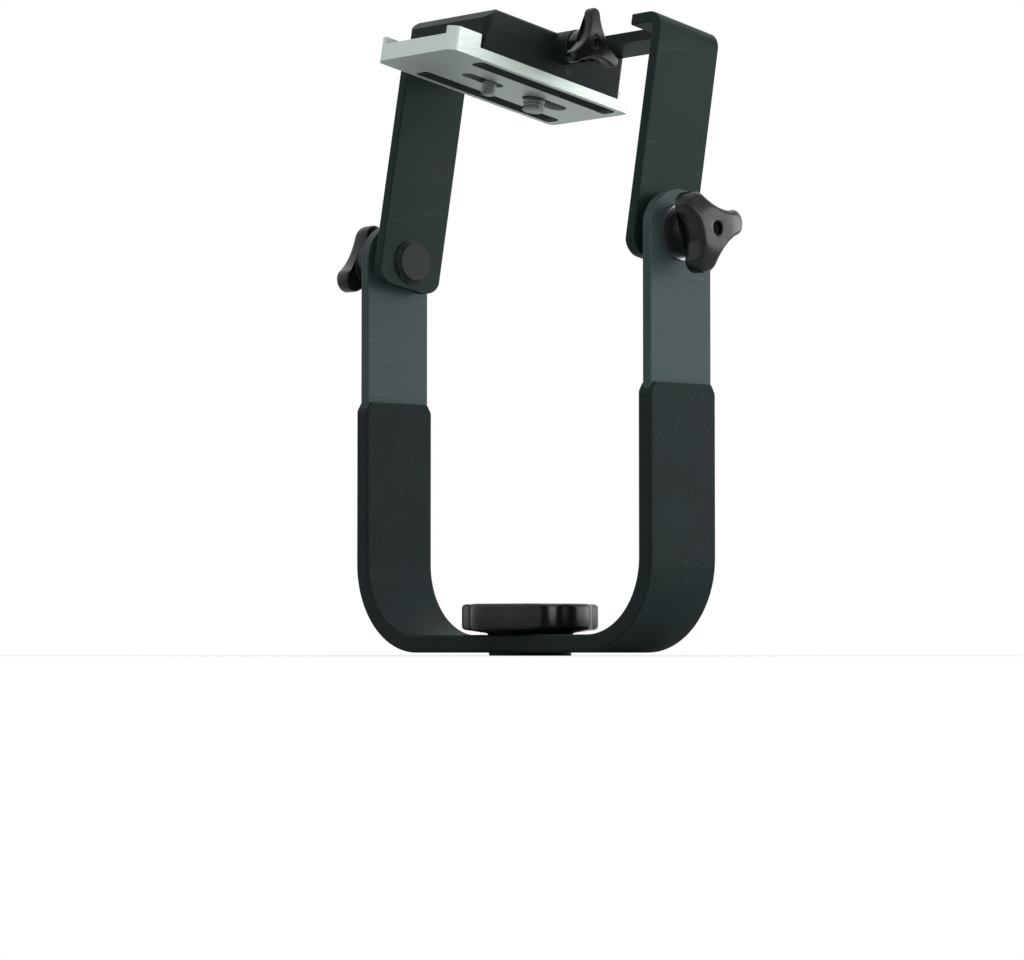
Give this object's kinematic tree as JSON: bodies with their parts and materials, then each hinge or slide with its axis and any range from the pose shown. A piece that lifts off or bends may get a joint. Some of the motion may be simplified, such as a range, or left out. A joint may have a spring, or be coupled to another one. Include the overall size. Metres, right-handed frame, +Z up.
{
  "type": "gimbal tripod head",
  "caption": "Gimbal head: a U fork that pans on a threaded foot carries a swinging inverted U bracket with a clamp, knobs and a sliding plate that holds a long lens.",
  "frame": {"origin": "centre of the tripod thread's mouth, on the foot's lower face and the pan axis", "axes": "+Z up along the pan axis, +X across the fork to the side of the plate's lock knob, +Y the way the lens looks"},
  "size_m": [0.231, 0.1058, 0.2788],
  "materials": {
    "fork_paint": "satin grey-black paint on bent bar",
    "grip_rubber": "fine pebbled, matt black",
    "bracket_paint": "satin black paint",
    "clamp_paint": "satin black anodised",
    "dark_aluminium": "black anodised",
    "plate_aluminium": "clear anodised, bare silver",
    "knob_plastic": "smooth black, soft sheen",
    "screw_steel": "turned, bright",
    "black_steel": "blackened steel",
    "bush_bronze": "turned bronze",
    "nylon": "dark nylon"
  },
  "bodies": {
    "foot": {"foot": "dark_aluminium", "slip_washer": "nylon", "stem_keeper": "screw_steel", "stem_screw": "screw_steel"},
    "fork": {"fork_frame": "fork_paint", "grip_sleeve": "grip_rubber", "pan_bush": "bush_bronze", "thrust_washer": "nylon", "friction_disc_right": "nylon", "friction_disc_left": "nylon", "tilt_bush_right": "bush_bronze", "tilt_bush_left": "bush_bronze", "tilt_washer_right": "screw_steel", "tilt_washer_left": "screw_steel"},
    "pan_knob": {"pan_knob": "knob_plastic", "pan_knob_insert": "bush_bronze"},
    "swing": {"swing_bracket": "bracket_paint", "clamp_screws": "black_steel", "clamp_body": "clamp_paint", "grub_screw": "black_steel", "catch_spring": "screw_steel", "pivot_stud_right": "black_steel", "pivot_stud_left": "black_steel"},
    "tilt_knob_right": {"tilt_knob_right": "knob_plastic", "tilt_knob_insert_right": "bush_bronze"},
    "tilt_knob_left": {"tilt_knob_left": "knob_plastic", "tilt_knob_insert_left": "bush_bronze"},
    "plate_lock": {"lock_screw": "screw_steel", "lock_knob": "knob_plastic"},
    "jaw": {"clamp_jaw": "dark_aluminium", "jaw_guide_pins": "black_steel"},
    "catch": {"safety_catch": "black_steel"},
    "plate": {"sliding_plate": "plate_aluminium", "plate_pads": "grip_rubber"},
    "front_washer": {"front_screw_washer": "nylon"},
    "rear_washer": {"rear_screw_washer": "nylon"},
    "front_screw": {"front_lens_screw": "screw_steel"},
    "rear_screw": {"rear_lens_screw": "screw_steel"}
  },
  "joints": [
    {"name": "pan", "type": "hinge", "parent": "foot", "child": "fork", "pos_m": [0, 0, 0.004], "axis": [0, 0, 1], "continuous": true},
    {"name": "pan_lock", "type": "hinge", "parent": "foot", "child": "pan_knob", "pos_m": [0, 0, 0.014], "axis": [0, 0, 1], "range_deg": [0, 360]},
    {"name": "tilt", "type": "hinge", "parent": "fork", "child": "swing", "pos_m": [0, 0, 0.178], "axis": [1, 0, 0], "continuous": true},
    {"name": "tilt_lock_right", "type": "hinge", "parent": "swing", "child": "tilt_knob_right", "pos_m": [0.105, 0, 0.178], "axis": [1, 0, 0], "range_deg": [0, 360]},
    {"name": "tilt_lock_left", "type": "hinge", "parent": "swing", "child": "tilt_knob_left", "pos_m": [-0.105, 0, 0.178], "axis": [-1, 0, 0], "range_deg": [0, 360]},
    {"name": "plate_lock", "type": "hinge", "parent": "swing", "child": "plate_lock", "pos_m": [0.038, -0.00274, 0.26327], "axis": [1, 0, 0], "range_deg": [0, 360]},
    {"name": "jaw_slide", "type": "slide", "parent": "swing", "child": "jaw", "axis": [1, 0, 0], "range_m": [0, 0.00125]},
    {"name": "catch_press", "type": "slide", "parent": "swing", "child": "catch", "axis": [0, 0.1736, 0.9848], "range_m": [0, 0.0022], "stiffness_N_per_m": 200, "springref_m": -0.001, "deforming": ["catch_spring"]},
    {"name": "plate_slide", "type": "slide", "parent": "swing", "child": "plate", "axis": [0, -0.9848, 0.1736], "range_m": [-0.001, 0.04]},
    {"name": "front_screw_slide", "type": "slide", "parent": "plate", "child": "front_washer", "axis": [0, 0.9848, -0.1736], "range_m": [-0.0115, 0.0035]},
    {"name": "rear_screw_slide", "type": "slide", "parent": "plate", "child": "rear_washer", "axis": [0, 0.9848, -0.1736], "range_m": [-0.0005, 0.0125]},
    {"name": "front_screw_turn", "type": "hinge", "parent": "front_washer", "child": "front_screw", "pos_m": [0, -0.0233, 0.25319], "axis": [0, 0.1736, 0.9848], "continuous": true},
    {"name": "rear_screw_turn", "type": "hinge", "parent": "rear_washer", "child": "rear_screw", "pos_m": [0, 0.00329, 0.2485], "axis": [0, 0.1736, 0.9848], "continuous": true}
  ],
  "couplings": [
    {"joint": "plate_lock", "follows": "jaw_slide", "rad_per_m": 5026.5}
  ]
}
